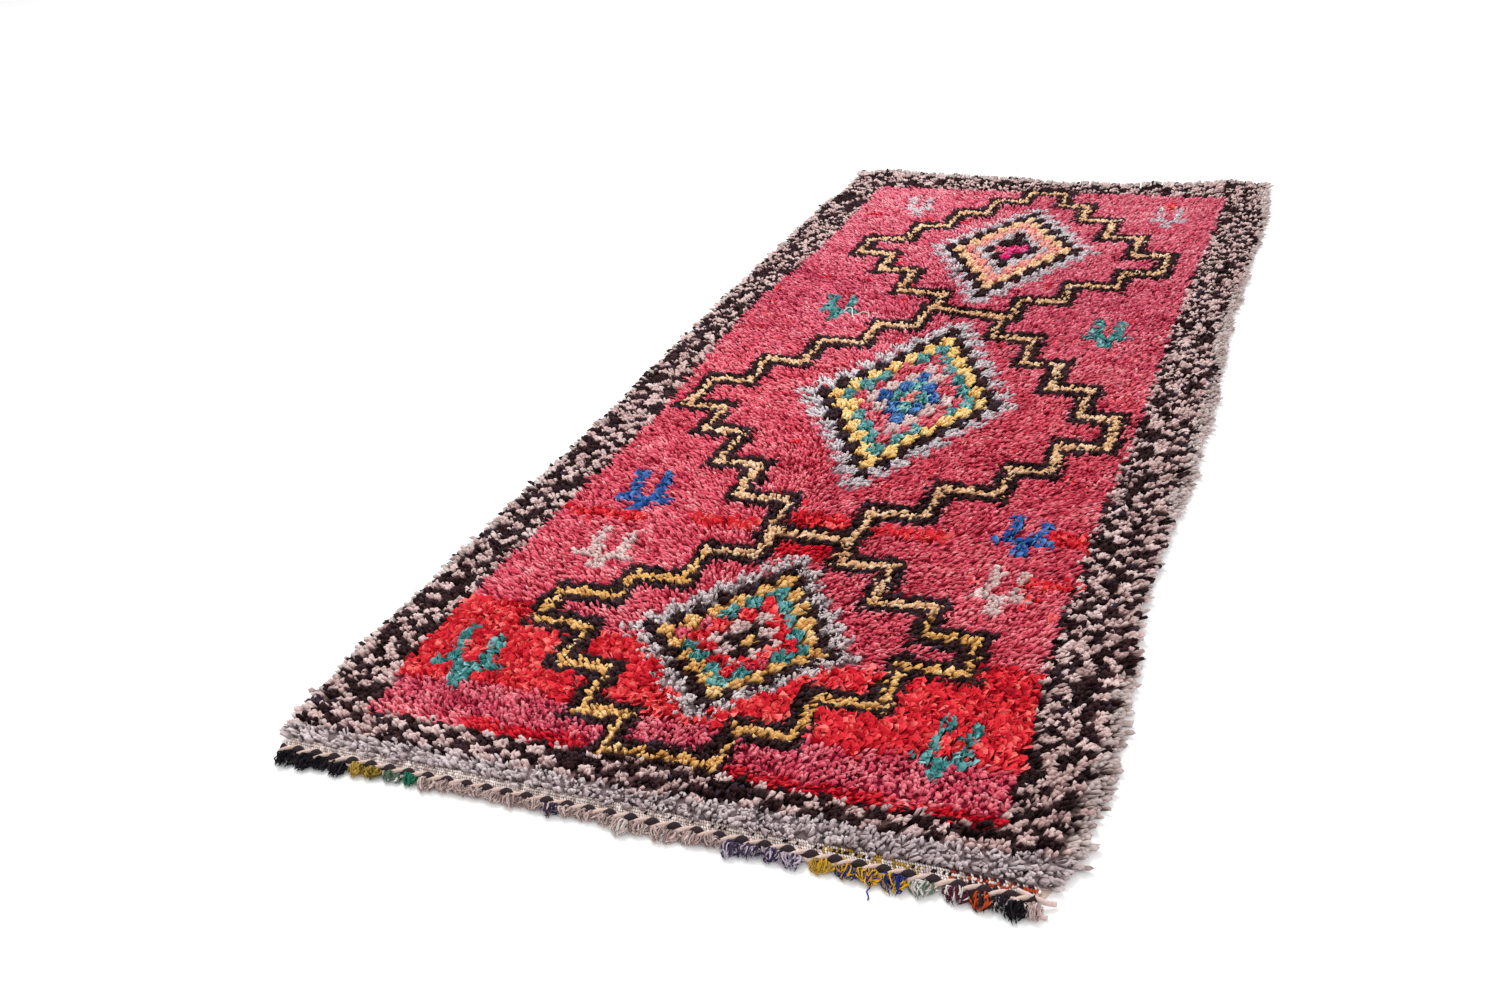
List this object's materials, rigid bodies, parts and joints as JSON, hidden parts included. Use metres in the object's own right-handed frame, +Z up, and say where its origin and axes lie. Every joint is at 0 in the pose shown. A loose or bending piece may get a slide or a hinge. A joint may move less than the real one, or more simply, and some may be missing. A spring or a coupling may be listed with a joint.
{
  "type": "knotted rag rug",
  "caption": "Long pile rug knotted from rag strips and yarn, with stepped diamonds on a pink field, a checkered border and a short fringe.",
  "frame": {"origin": "on the floor, under the middle of the whole rug with its fringe", "axes": "+X across the rug, +Y from the fringed end to the plain end, +Z up"},
  "size_m": [1.1485, 2.7577, 0.0223],
  "materials": {
    "pile": "knotted wool and cotton pile, matt",
    "fringe": "matt cotton yarn tassels in several colours",
    "light_twine": "matt cream cotton twine",
    "dark_twine": "matt dark brown wool twine",
    "weave": "flat-woven cotton ground, matt",
    "dark_yarn": "matt dark brown and black wool yarn",
    "pale_yarn": "matt cream and pale grey yarn",
    "gold_yarn": "matt gold yarn",
    "red_rag": "soft bright red jersey strips",
    "teal_rag": "soft teal and blue strips"
  },
  "bodies": {
    "root": {"rug": "pile", "fringe": "fringe", "light_strand": "light_twine", "dark_strand": "dark_twine"}
  },
  "joints": []
}
